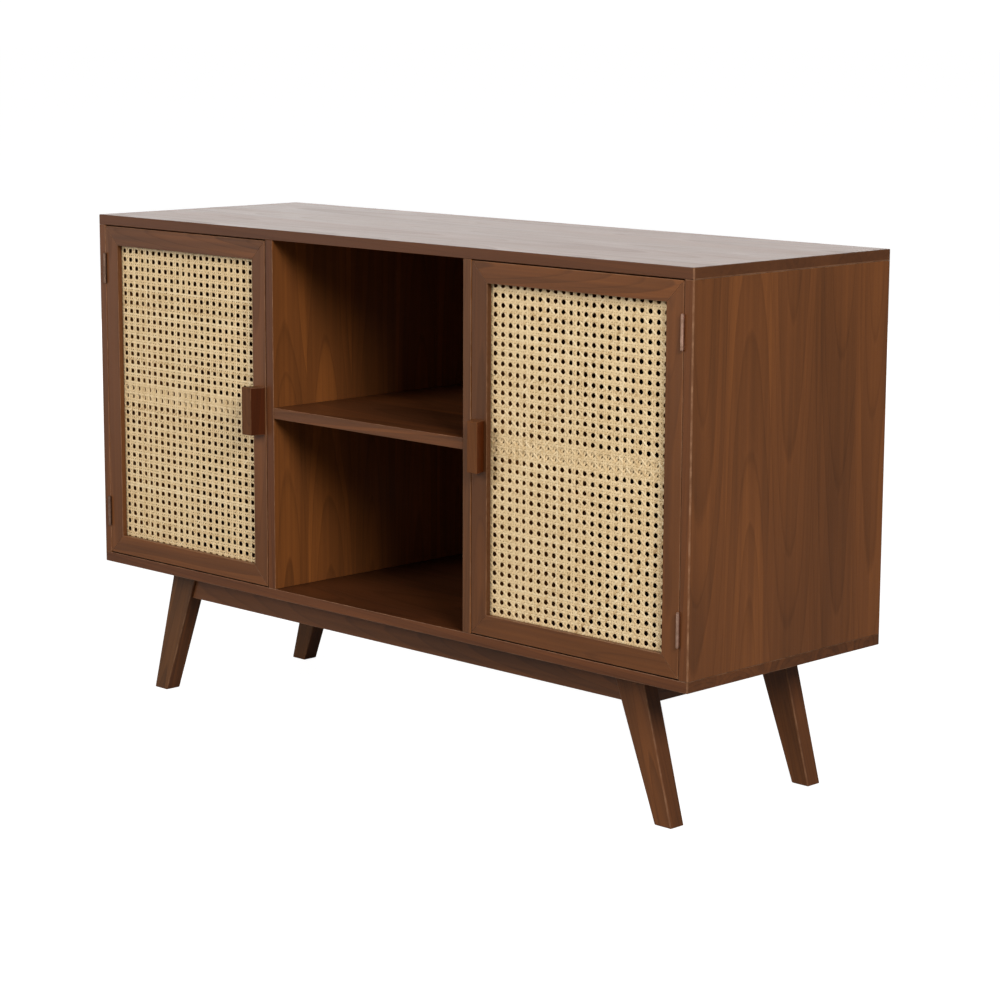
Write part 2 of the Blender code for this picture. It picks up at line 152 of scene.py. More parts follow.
def new_material(name):
    mat = bpy.data.materials.new(name)
    mat.use_nodes = True
    mat.node_tree.nodes.clear()
    g = Graph(mat.node_tree)
    shader = g.node("ShaderNodeBsdfPrincipled")
    out = g.node("ShaderNodeOutputMaterial")
    mat.node_tree.links.new(shader.outputs[0], out.inputs[0])
    return mat, g, shader


# ------------------------------------------------------------------ wood
def build_wood_group():
    """Plain-sawn timber: growth rings round a pith that runs slightly askew to the board, board staves glued edge to
    edge, long fibres and pores. Input x runs across the board's face, y through its thickness, z along the grain."""
    tree = bpy.data.node_groups.new("plain_sawn_timber", "ShaderNodeTree")
    face = tree.interface
    face.new_socket("Vector", in_out="INPUT", socket_type="NodeSocketVector")
    for name, value in (
        ("Seed", 0.0), ("Stave", 10.0), ("Ring", 0.0075), ("Pith", 0.05), ("Slope", 0.07), ("Spread", 0.03),
        ("Tone", 0.5), ("Contrast", 1.0),
    ):
        s = face.new_socket(name, in_out="INPUT", socket_type="NodeSocketFloat")
        s.default_value = value
    face.new_socket("Color", in_out="OUTPUT", socket_type="NodeSocketColor")
    face.new_socket("Roughness", in_out="OUTPUT", socket_type="NodeSocketFloat")
    face.new_socket("Height", in_out="OUTPUT", socket_type="NodeSocketFloat")
    g = Graph(tree)
    gi = g.node("NodeGroupInput").outputs
    go = g.node("NodeGroupOutput")
    vec, seed = gi["Vector"], gi["Seed"]
    x, y, z = g.split(vec)

    # staves, each with its own log
    s = g.add(g.math("DIVIDE", x, gi["Stave"]), 0.5)
    index = g.math("FLOOR", s)
    across = g.mul(g.add(g.math("SUBTRACT", s, index), -0.5), gi["Stave"])
    rnd = g.white(g.add(g.mul(index, 5.31), g.mul(seed, 1.77)))
    r1, r2, r3 = g.split(rnd.outputs["Color"])
    along = g.add(z, g.mul(g.add(r3, -0.5), 0.9))
    moved = g.vector(g.add(x, g.mul(seed, 0.71)), g.add(y, g.mul(r1, 3.1)), g.add(z, g.mul(seed, 0.37)))

    # pith line: askew, and wandering a little
    sway = g.noise(g.scaled(moved, 5.0, 5.0, 2.6), detail=1.0)
    wave = g.noise(g.scaled(moved, 24.0, 24.0, 5.0), detail=2.0)
    px = g.add(
        g.math("SUBTRACT", across, g.mul(g.add(r1, -0.5), gi["Spread"])),
        g.centred(sway, 0.030), g.centred(wave, 0.006),
    )
    sign = g.math("SIGN", g.add(r2, -0.5))
    py = g.add(gi["Pith"], g.mul(g.mul(along, gi["Slope"]), sign), y, g.centred(sway, 0.016))
    radius = g.math("SQRT", g.add(g.mul(px, px), g.mul(py, py)))
    rings = g.add(
        g.math("DIVIDE", radius, gi["Ring"]),
        g.mul(g.add(g.noise(None, detail=1.0, dims="1D", w=g.add(g.mul(radius, 55.0), g.mul(seed, 3.0), r3)), -0.5), 1.6),
        g.centred(g.noise(g.scaled(moved, 190.0, 190.0, 9.0), detail=2.0), 0.10),
    )
    ring_index = g.math("FLOOR", rings)
    part = g.math("SUBTRACT", rings, ring_index)
    ring_rnd = g.white(g.add(ring_index, g.mul(seed, 2.3), g.mul(r2, 9.0))).outputs["Value"]
    next_rnd = g.white(g.add(ring_index, 1.0, g.mul(seed, 2.3), g.mul(r2, 9.0))).outputs["Value"]
    blend = g.remap(part, 0.86, 1.0, smooth=True)
    ring_tone = g.add(ring_rnd, g.mul(blend, g.math("SUBTRACT", next_rnd, ring_rnd)))
    line = g.ramp(part, ((0.0, 0.45), (0.045, 0.0), (0.16, 0.22), (0.50, 0.26), (0.80, 0.45), (0.94, 1.0), (1.0, 0.62)))
    line = g.split(line)[0]

    cloud = g.noise(g.scaled(moved, 9.0, 9.0, 1.9), detail=3.0, roughness=0.55)
    streak = g.noise(g.scaled(moved, 125.0, 125.0, 1.7), detail=3.0, roughness=0.65)
    fibre = g.noise(g.scaled(moved, 640.0, 640.0, 11.0), detail=2.0, roughness=0.6)
    pore = g.noise(g.scaled(moved, 1500.0, 1500.0, 42.0), detail=1.0)
    pore = g.remap(pore, 0.66, 0.76, smooth=True)

    tone = g.add(
        gi["Tone"],
        g.mul(gi["Contrast"], g.add(
            g.centred(ring_tone, 0.32), g.centred(cloud, 0.66), g.centred(streak, 0.86), g.centred(r2, 0.22),
        )),
    )
    colour = g.ramp(
        tone,
        (
            (0.0, (0.092, 0.0340, 0.0120)),
            (0.35, (0.136, 0.0480, 0.0152)),
            (0.62, (0.180, 0.0615, 0.0180)),
            (1.0, (0.258, 0.0880, 0.0225)),
        ),
    )
    dark = g.add(1.05, g.mul(g.mul(line, gi["Contrast"]), -0.25), g.centred(fibre, 0.11), g.mul(pore, -0.13))
    colour = g.mix(1.0, colour, g.vector(dark, dark, dark), "MULTIPLY")
    g.put(go.inputs["Color"], colour)
    g.put(go.inputs["Roughness"], g.add(0.36, g.centred(fibre, 0.12), g.mul(line, 0.05), g.mul(pore, 0.10), g.centred(cloud, 0.08)))
    g.put(go.inputs["Height"], g.add(g.mul(fibre, 0.55), g.mul(pore, -0.9), g.mul(line, 0.22)))
    return tree


WOOD = build_wood_group()
AXES = {
    "z_on_x": ((0, 1, 0), (1, 0, 0), (0, 0, 1)),     # upright grain, face towards X
    "z_on_y": ((1, 0, 0), (0, 1, 0), (0, 0, 1)),     # upright grain, face towards Y
    "x_on_z": ((0, 1, 0), (0, 0, 1), (1, 0, 0)),     # grain along the length, face up
    "x_on_y": ((0, 0, 1), (0, 1, 0), (1, 0, 0)),     # grain along the length, face towards Y
    "y_on_z": ((1, 0, 0), (0, 0, 1), (0, 1, 0)),     # grain front to back, face up
    "y_on_x": ((0, 0, 1), (1, 0, 0), (0, 1, 0)),     # grain front to back, face towards X
}


def wood_material(name, axes, centre, seed, stave=10.0, ring=0.0075, pith=0.05, slope=0.07, spread=0.03, tone=0.5,
                  contrast=1.0, lacquer=0.0, rough=0.0, specular=0.25, tints=(), rub_strength=0.60, rub_and_highlight_level=1.0,
                  arris_limits=(0.935, 0.965), rim_highlight=None):
    """axes: a key of AXES or three unit vectors (across, through, along). centre: a point on the board's middle line.
    tints: (direction, colour) pairs of painted light and shade: the faces that look that way are made lighter or
    darker, as the lamps would make them; a direction of
    None means both ways along X. rub_strength: how far the arrises go towards their paler colour, which is partly
    rubbed wear and partly painted highlight. rub_and_highlight_level: how much of that the level arrises get.
    arris_limits: how squarely a face looks along an axis before it counts as flat.
    rim: (height, width) of a painted highlight, a paler line along the ends, where the board below begins."""
    mat, g, shader = new_material(name)
    u, v, w = (Vector(a) for a in (AXES[axes] if isinstance(axes, str) else axes))
    place = g.node("ShaderNodeTexCoord").outputs["Object"]
    at = g.node("ShaderNodeVectorMath", {0: place, 1: tuple(centre)}, operation="SUBTRACT").outputs[0]
    dots = [g.node("ShaderNodeVectorMath", {0: at, 1: tuple(a)}, operation="DOT_PRODUCT").outputs["Value"] for a in (u, v, w)]
    group = g.node("ShaderNodeGroup", node_tree=WOOD)
    g.put(group.inputs["Vector"], g.vector(*dots))
    for key, value in (("Seed", seed), ("Stave", stave), ("Ring", ring), ("Pith", pith), ("Slope", slope),
                       ("Spread", spread), ("Tone", tone), ("Contrast", contrast)):
        group.inputs[key].default_value = value
    colour = group.outputs["Color"]
    normal = g.node("ShaderNodeTexCoord").outputs["Normal"]
    # painted light and shade: each face is made lighter or darker by the way it looks, as the lamps would make it
    for direction, tint in tints:
        if direction is None:
            facing = g.math("ABSOLUTE", g.split(normal)[0])
        else:
            facing = g.node("ShaderNodeVectorMath", {0: normal, 1: direction}, operation="DOT_PRODUCT").outputs["Value"]
        reach = g.remap(facing, 0.35, 0.80, smooth=True)
        # the painted gain can be above one, which a colour mix would cut off
        scale = [g.add(1.0, g.mul(reach, value - 1.0)) for value in tint]
        colour = g.node("ShaderNodeVectorMath", {0: colour, 1: g.vector(*scale)}, operation="MULTIPLY").outputs[0]
    # arrises painted paler, partly rubbed wear and partly painted highlight: the rounded edges are the only faces that
    # look along none of the board's own axes
    nu, nv, nw = (
        g.math("ABSOLUTE", g.node("ShaderNodeVectorMath", {0: normal, 1: tuple(a)}, operation="DOT_PRODUCT").outputs["Value"])
        for a in (u, v, w)
    )
    arris = g.remap(g.math("MAXIMUM", g.math("MAXIMUM", nu, nv), nw), *arris_limits, 1.0, 0.0, smooth=True)
    nx, ny, nz = (g.math("ABSOLUTE", c) for c in g.split(normal))
    if rub_and_highlight_level != 1.0:
        arris = g.mul(arris, g.remap(nz, 0.15, 0.35, 1.0, rub_and_highlight_level))
    rub = g.noise(g.scaled(place, 42.0, 42.0, 42.0), detail=3.0, roughness=0.65)
    wear_and_highlight = g.mul(arris, g.remap(rub, 0.38, 0.66, 0.30, 1.0, smooth=True))
    # painted highlight: a paler line along the ends, just above where the board below begins
    if rim_highlight:
        above = g.math("SUBTRACT", g.split(place)[2], rim_highlight[0])
        wear_and_highlight = g.math("MAXIMUM", wear_and_highlight, g.mul(g.mul(g.remap(above, rim_highlight[1] * 0.5, rim_highlight[1], 1.0, 0.0), nx), g.remap(rub, 0.30, 0.60, 0.25, 0.75)))
    # the pale colour stands for both the rubbed wear and the painted highlights
    colour = g.mix(g.mul(wear_and_highlight, rub_strength), colour, (0.32, 0.165, 0.086))
    g.put(shader.inputs["Base Color"], colour)
    g.put(shader.inputs["Roughness"], g.add(group.outputs["Roughness"], rough, g.mul(wear_and_highlight, 0.08)))
    shader.inputs["Specular IOR Level"].default_value = specular
    g.put(shader.inputs["Normal"], g.bump(group.outputs["Height"], 0.16, 0.00025))
    shader.inputs["IOR"].default_value = 1.50
    shader.inputs["Coat Weight"].default_value = lacquer
    shader.inputs["Coat Roughness"].default_value = 0.30
    return mat


def middle(node):
    low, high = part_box(node)
    return (low + high) / 2


def wear(node, mat, edges=None):
    """Gives a CAD node this material, and the second one, if any, on the faces that do not look up."""
    obj = NODES[node]
    obj.data.materials.clear()
    obj.data.materials.append(mat)
    if edges:
        obj.data.materials.append(edges)
    for polygon in obj.data.polygons:
        polygon.material_index = 1 if edges and polygon.normal.z < 0.95 else 0


def board(node, axes, seed, **how):
    wear(node, wood_material("timber_" + node, axes, middle(node), seed, **how))


TOP = dict(stave=0.100, ring=0.0100, pith=0.045, slope=0.05, tone=0.50, contrast=0.5)
# the top's faces that do not look up get a copy of its timber with painted shade, darkened by their tints, with painted
# highlights on the arrises and the rim
wear("top_panel", wood_material("timber_top_panel", "x_on_z", middle("top_panel"), 11.0, specular=0.55, **TOP),
     wood_material("timber_top_panel_edges", "x_on_z", middle("top_panel"), 11.0, rub_strength=0.80, rub_and_highlight_level=0.10,
                   rim_highlight=(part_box("top_panel")[0].z, 0.0016),
                   tints=(((0, 0, 1), (0.35, 0.32, 0.32)), ((0, -1, 0), (0.66, 0.67, 0.82)), (None, (0.63, 0.66, 0.82))), **TOP))
# painted shade: the top face is darkened, and the front and the ends a little
board("bottom_panel", "x_on_z", 12.0, stave=0.095, ring=0.0085, pith=0.045, slope=0.05, tone=0.42,
      tints=(((0, 0, 1), (0.46, 0.39, 0.39)), ((0, -1, 0), (0.84, 0.82, 0.95)), (None, (0.80, 0.78, 0.80))))
# painted shade: the shelf's top face is darkened
board("centre_shelf", "x_on_z", 13.0, stave=0.100, ring=0.0080, tone=0.46, rub_strength=0.40, tints=(((0, 0, 1), (0.68, 0.60, 0.58)), ((0, -1, 0), (0.92, 0.92, 0.95))))
board("back_panel", "x_on_y", 14.0, stave=0.180, ring=0.0100, tone=0.60, contrast=0.6, rough=0.15)
BAY_WALL_PAINTED_LIGHT = (1.65, 1.60, 1.15)      # painted light: the faces inside the door bays are made paler than the stained timber, for the light that comes in through the cane
for side, tag in SIDES:
    k = 20 if side < 0 else 40
    # painted light and shade by facing: the faces inside the bays paler, the front edges and the other faces darker
    board(f"side_panel_{tag}", "z_on_x", 2.0 if side < 0 else 9.0, stave=0.088, ring=0.0070, pith=0.032, slope=0.048,
          spread=0.02, tone=0.58, contrast=0.80, rub_strength=0.80, tints=(((-side, 0, 0), BAY_WALL_PAINTED_LIGHT), ((side, 0, 0), (0.94, 0.94, 0.97)), ((0, -1, 0), (0.86, 0.83, 0.82))))
    board(f"divider_{tag}", "z_on_x", 5.0 if side < 0 else 16.0, stave=0.088, ring=0.0070, pith=0.032, slope=0.048,
          spread=0.02, tone=0.60, contrast=0.95, tints=(((side, 0, 0), BAY_WALL_PAINTED_LIGHT), ((-side, 0, 0), (1.06, 1.00, 0.84)), ((0, -1, 0), (0.64, 0.58, 0.54) if side < 0 else (0.78, 0.86, 1.02))))
    for where in ("front", "rear"):
        low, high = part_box(f"{where}_leg_{tag}")
        lean = Vector((-side * 0.33, 0, 1)).normalized()
        # painted light and shade: the sides a little darker, and the left legs' fronts made bluer-grey as a painted
        # sheen
        board(f"{where}_leg_{tag}", (Vector((1, 0, side * 0.33)).normalized(), Vector((0, 1, 0)), lean),
              k + (3.0 if where == "front" else 4.0), ring=0.0050, pith=0.03, slope=0.04,
              tone=0.36, rub_strength=0.42,
              tints=((None, (0.88, 0.86, 0.90)), ((0, -1, 0), (0.88, 1.02, 1.20) if side < 0 else (1.0, 1.0, 1.0))))
    board(f"side_rail_{tag}", "y_on_x", k + 5.0, ring=0.0055, tone=0.40)
    for where in ("front", "rear"):
        board(f"corner_brace_{where}_{tag}", "y_on_z", k + (6.0 if where == "front" else 7.0), ring=0.0055, tone=0.38,
              rough=0.12, rub_strength=0.0)
    board(f"door_stile_closing_{tag}", "z_on_y", k + 8.0, ring=0.0045, pith=0.05, slope=0.02, tone=0.46 if side < 0 else 0.24,
          contrast=0.75)
    board(f"door_stile_hinge_{tag}", "z_on_y", k + 9.0, ring=0.0045, pith=0.05, slope=0.02, tone=0.46, contrast=0.75)
    board(f"door_rail_top_{tag}", "x_on_y", k + 10.0, ring=0.0050, pith=0.02, slope=0.06, tone=0.46)
    board(f"door_rail_bottom_{tag}", "x_on_y", k + 11.0, ring=0.0050, pith=0.04, slope=0.03, tone=0.44, contrast=0.8)
    for number, place in enumerate(("closing", "hinge", "top", "bottom")):
        axes = "z_on_y" if place in ("closing", "hinge") else "x_on_y"
        board(f"cane_bead_{place}_{tag}", axes, k + 12.0 + number, ring=0.0040, tone=0.40, lacquer=0.0, rough=0.12)
    # painted shade: the pulls' flanks that look along X are darkened, for the shade of the undercut
    board(f"door_pull_{tag}", "z_on_y", k + 16.0, ring=0.0040, tone=0.27, contrast=0.7, specular=0.10, rub_strength=0.35, arris_limits=(0.84, 0.88),
          tints=((None, (0.55, 0.32, 0.16)),))
board("front_apron", "x_on_y", 61.0, ring=0.0055, tone=0.46, specular=0.35)
board("rear_apron", "x_on_y", 62.0, ring=0.0055, tone=0.40)


# ------------------------------------------------------------------ metals and plastic
def metal_material(name, dark, light, rough, grain=600.0, bump=0.05):
    mat, g, shader = new_material(name)
    place = g.node("ShaderNodeTexCoord").outputs["Object"]
    cloud = g.noise(g.scaled(place, 160.0, 160.0, 160.0), detail=4.0, roughness=0.6)
    brushed = g.noise(g.scaled(place, grain, grain, grain * 5), detail=2.0)
    g.put(shader.inputs["Base Color"], g.mix(g.remap(cloud, 0.3, 0.7), dark, light))
    g.put(shader.inputs["Roughness"], g.add(rough, g.centred(cloud, 0.16), g.centred(brushed, 0.10)))
    g.put(shader.inputs["Normal"], g.bump(g.add(brushed, g.mul(cloud, 0.6)), bump, 0.0002))
    shader.inputs["Metallic"].default_value = 1.0
    return mat


BRASS = metal_material("aged_brass_finish", (0.46, 0.265, 0.18), (0.68, 0.43, 0.32), 0.44)
# a darker copy of the brass: painted shade for the left doors' hinges
SHADED_BRASS = metal_material("brass_with_painted_shade", (0.20, 0.120, 0.082), (0.33, 0.207, 0.148), 0.50)
STEEL = metal_material("zinc_steel_finish", (0.42, 0.42, 0.41), (0.60, 0.60, 0.59), 0.36)
PLASTIC, g, shader = new_material("moulded_plastic_finish")
place = g.node("ShaderNodeTexCoord").outputs["Object"]
grain = g.noise(g.scaled(place, 900.0, 900.0, 900.0), detail=3.0, roughness=0.6)
g.put(shader.inputs["Base Color"], g.mix(grain, (0.028, 0.024, 0.022), (0.048, 0.042, 0.038)))
g.put(shader.inputs["Roughness"], g.add(0.46, g.centred(grain, 0.2)))
g.put(shader.inputs["Normal"], g.bump(grain, 0.15, 0.0002))
for side, tag in SIDES:
    for where in ("lower", "upper"):
        for node in (f"hinge_leaf_case_{where}_{tag}", f"hinge_leaf_door_{where}_{tag}", f"hinge_pin_{where}_{tag}"):
            # painted shade: the left doors' hinges get the darker copy of the brass
            wear(node, BRASS if side > 0 else SHADED_BRASS)
        wear(f"pull_screw_{where}_{tag}", STEEL)
    wear(f"catch_plate_{tag}", STEEL)
    wear(f"magnetic_catch_{tag}", PLASTIC)


# ------------------------------------------------------------------ hinge screws
# painted shade: the cross recesses are too shallow to shade themselves, so their faces get this near-black finish
RECESS_SHADE = metal_material("screw_recess_painted_shade", (0.030, 0.020, 0.015), (0.055, 0.038, 0.028), 0.60)


def screw_heads(name, body, mat, centres, normal, rng):
    """Countersunk heads that stand a hair proud of a hinge leaf, each with a cross recess. normal is +1 or -1 along X."""
    radius, top, floor, steps = 0.0022, 0.00011, 0.00002, 40
    rings = radius * np.array([0.25, 0.42, 0.58, 0.74, 0.88, 0.97, 1.0])
    points, faces, dark = [], [], []
    for x, y, z in centres:
        turned = rng.uniform(0, math.pi / 2)
        first = len(points)

        def add(r, angle, height=None):
            u, v = abs(r * math.cos(angle - turned)), abs(r * math.sin(angle - turned))
            sunk = min(u, v) < 0.17 * radius and max(u, v) < 0.64 * radius
            if height is None:
                height = floor if sunk else top * (1 - 0.8 * (r / radius) ** 6)
            points.append((x + normal * height, y + r * math.cos(angle), z + normal * r * math.sin(angle)))
            return sunk

        add(0.0, 0.0)
        for r in rings:
            for k in range(steps):
                add(r, 2 * math.pi * k / steps)
        for k in range(steps):
            add(radius, 2 * math.pi * k / steps, -0.00025)
        add(0.0, 0.0, -0.00025)
        last = len(points) - 1
        for k in range(steps):
            j = (k + 1) % steps
            faces.append((first, first + 1 + k, first + 1 + j))
            dark.append(True)
            for ring in range(len(rings)):
                a = first + 1 + ring * steps
                faces.append((a + k, a + steps + k, a + steps + j, a + j))
                at = 2 * math.pi * (k + 0.5) / steps - turned
                r = (rings[ring] + rings[min(ring + 1, len(rings) - 1)]) / 2
                u, v = abs(r * math.cos(at)), abs(r * math.sin(at))
                dark.append(bool(min(u, v) < 0.17 * radius and max(u, v) < 0.64 * radius))
            a = first + 1 + len(rings) * steps
            faces.append((a + k, last, a + j))
            dark.append(False)
    mesh = bpy.data.meshes.new(name)
    mesh.from_pydata(points, [], faces)
    mesh.materials.append(mat)
    mesh.materials.append(RECESS_SHADE)
    mesh.polygons.foreach_set("material_index", [int(d) for d in dark])
    mesh.update()
    obj = bpy.data.objects.new(name, mesh)
    bpy.context.scene.collection.objects.link(obj)
    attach(obj, body)


for side, tag in SIDES:
    rng = np.random.default_rng(300 + side)
    for leaf, body, face, normal in (("case", "cabinet", 0.5847, -side), ("door", f"door_{tag}", 0.5843, side)):
        spots = []
        for where in ("lower", "upper"):
            low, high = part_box(f"hinge_leaf_{leaf}_{where}_{tag}")
            spots += [(side * face, low.y + 0.0135, (low.z + high.z) / 2 + dz) for dz in (-0.0155, 0.0, 0.0155)]
        screw_heads(f"hinge_screws_{leaf}_{tag}", body, BRASS, spots, normal, rng)


# ------------------------------------------------------------------ woven cane
def cane_material():
    mat, g, shader = new_material("cane_skin")
    place = g.node("ShaderNodeTexCoord").outputs["Object"]
    # strand_tone_and_edge_shade holds each strand's own tone together with the painted shade along its edges
    tone = g.node("ShaderNodeAttribute", attribute_name="strand_tone_and_edge_shade").outputs["Fac"]
    blotch = g.noise(g.scaled(place, 60.0, 60.0, 60.0), detail=3.0, roughness=0.6)
    fleck = g.noise(g.scaled(place, 420.0, 420.0, 420.0), detail=3.0, roughness=0.65)
    mixed = g.add(g.mul(tone, 0.75), g.centred(blotch, 0.50), g.centred(fleck, 0.30), 0.14)
    colour = g.ramp(
        mixed,
        (
            (0.0, (0.36, 0.20, 0.080)),
            (0.16, (0.56, 0.37, 0.165)),
            (0.35, (0.72, 0.51, 0.260)),
            (0.7, (0.83, 0.625, 0.355)),
            (1.0, (0.90, 0.73, 0.46)),
        ),
    )
    knot = g.remap(g.noise(g.scaled(place, 130.0, 130.0, 130.0), detail=1.0), 0.70, 0.78, smooth=True)
    colour = g.mix(g.mul(knot, 0.45), colour, (0.33, 0.20, 0.09))
    g.put(shader.inputs["Base Color"], colour)
    g.put(shader.inputs["Roughness"], g.add(0.46, g.centred(fleck, 0.2), g.centred(tone, -0.08)))
    g.put(shader.inputs["Normal"], g.bump(fleck, 0.10, 0.0002))
    return mat


CANE = cane_material()


class Ribbons:
    """Collects flat strands with a slightly domed face into one mesh."""

    def __init__(self):
        self.points, self.faces, self.tones, self.count = [], [], [], 0

    def strand(self, centre, sideways, front, width, thick, tone, edges=(-0.42, -0.42)):
        """centre: n x 3 points. sideways: n x 3 unit vectors across the strand. front: unit vector out of its face.
        edges: how far the two edges are darkened, painted shade for the strand's rounded sides."""
        n = len(centre)
        half = (width / 2)[:, None] * sideways
        up = np.asarray(front, float)[None, :] * thick
        ring = np.stack(
            [
                centre - half - 0.5 * up,
                centre - 0.80 * half + 0.32 * up,
                centre + 0.5 * up,
                centre + 0.80 * half + 0.32 * up,
                centre + half - 0.5 * up,
            ],
            axis=1,
        )
        k = 5
        base = self.count
        i = np.arange(n - 1)[:, None] * k
        j = np.arange(k)[None, :]
        a = base + i + j
        b = base + i + (j + 1) % k
        quads = np.stack([a, b, b + k, a + k], axis=-1).reshape(-1, 4)
        self.points.append(ring.reshape(-1, 3))
        self.faces.extend(quads.tolist())
        self.faces.append([base + m for m in reversed(range(k))])
        self.faces.append([base + (n - 1) * k + m for m in range(k)])
        # painted shade: the outer points of the strand are darkened by edges
        low, high = edges
        self.tones.append(np.tile([tone + low, tone + 0.4 * low, tone, tone + 0.4 * high, tone + high], n))
        self.count += n * k

    def build(self, name):
        mesh = bpy.data.meshes.new(name)
        mesh.from_pydata(np.concatenate(self.points).tolist(), [], self.faces)
        layer = mesh.attributes.new("strand_tone_and_edge_shade", "FLOAT", "POINT")
        layer.data.foreach_set("value", np.concatenate(self.tones).astype(np.float32))
        mesh.shade_smooth()
        mesh.set_sharp_from_angle(angle=math.radians(42))
        mesh.materials.append(CANE)
        obj = bpy.data.objects.new(name, mesh)
        bpy.context.scene.collection.objects.link(obj)
        return obj


def drift(rng, s, size, wavelength):
    """A smooth random wander of about this size along the distances s."""
    total = np.zeros_like(s)
    for octave in (1.0, 2.3, 4.9):
        total += np.sin(s * 2 * np.pi * octave / wavelength + rng.uniform(0, 2 * np.pi)) / octave
    return total * size * 0.62


def plateau(value):
    """A wave that holds its height at the crossings and passes quickly between them."""
    return np.tanh(2.2 * value) / math.tanh(2.2)


class Lattice:
    """Octagon mesh: a hole at each whole (column, row); upright pairs between columns, level pairs between rows, and
    two slanting families that pass between the holes."""

    def __init__(self, rng, x0, pitch_x, z0, pitch_z, columns, rows, narrow_from):
        self.c = np.arange(-3, columns + 4, dtype=float)
        self.r = np.arange(-3, rows + 4, dtype=float)
        step = np.where((np.arange(len(self.c)) - 3 - narrow_from) % 7 == 0, -0.0016, 0.0016 / 6)
        self.cx = x0 + pitch_x * self.c + np.cumsum(step) - np.cumsum(step)[3] + rng.normal(0, 0.00018, len(self.c))
        self.rz = z0 - pitch_z * self.r + rng.normal(0, 0.00014, len(self.r))

    def x(self, column):
        return np.interp(column, self.c, self.cx)

    def z(self, row):
        return np.interp(row, self.r, self.rz)


